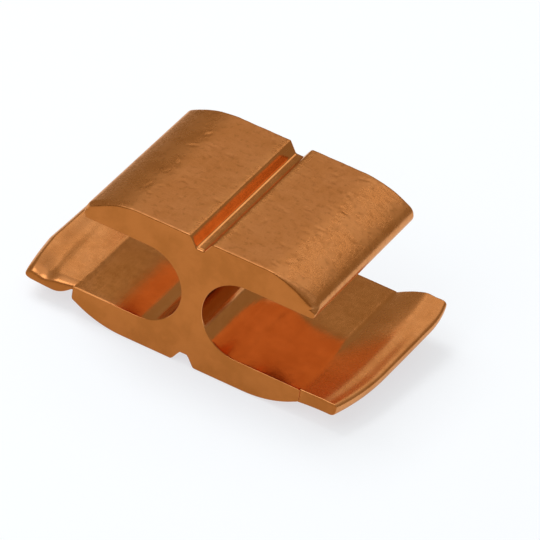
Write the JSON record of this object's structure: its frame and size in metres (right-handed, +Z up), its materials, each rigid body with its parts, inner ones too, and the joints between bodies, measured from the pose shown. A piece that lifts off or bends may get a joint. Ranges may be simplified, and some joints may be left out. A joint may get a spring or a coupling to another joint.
{
  "type": "h-tap connector",
  "caption": "Copper H-shaped compression tap connector with a round-seated wire groove on each side, notched crimp pads and fold-over retaining tabs.",
  "frame": {"origin": "under the middle of the part, on the flat of the lower pads", "axes": "+X across the two grooves, +Y along the conductors, +Z up from the lower pads to the upper pads"},
  "size_m": [0.0356, 0.019, 0.0144],
  "materials": {
    "copper": "satin bare copper, as extruded and cut"
  },
  "bodies": {
    "root": {"tap_body": "copper"}
  },
  "joints": []
}
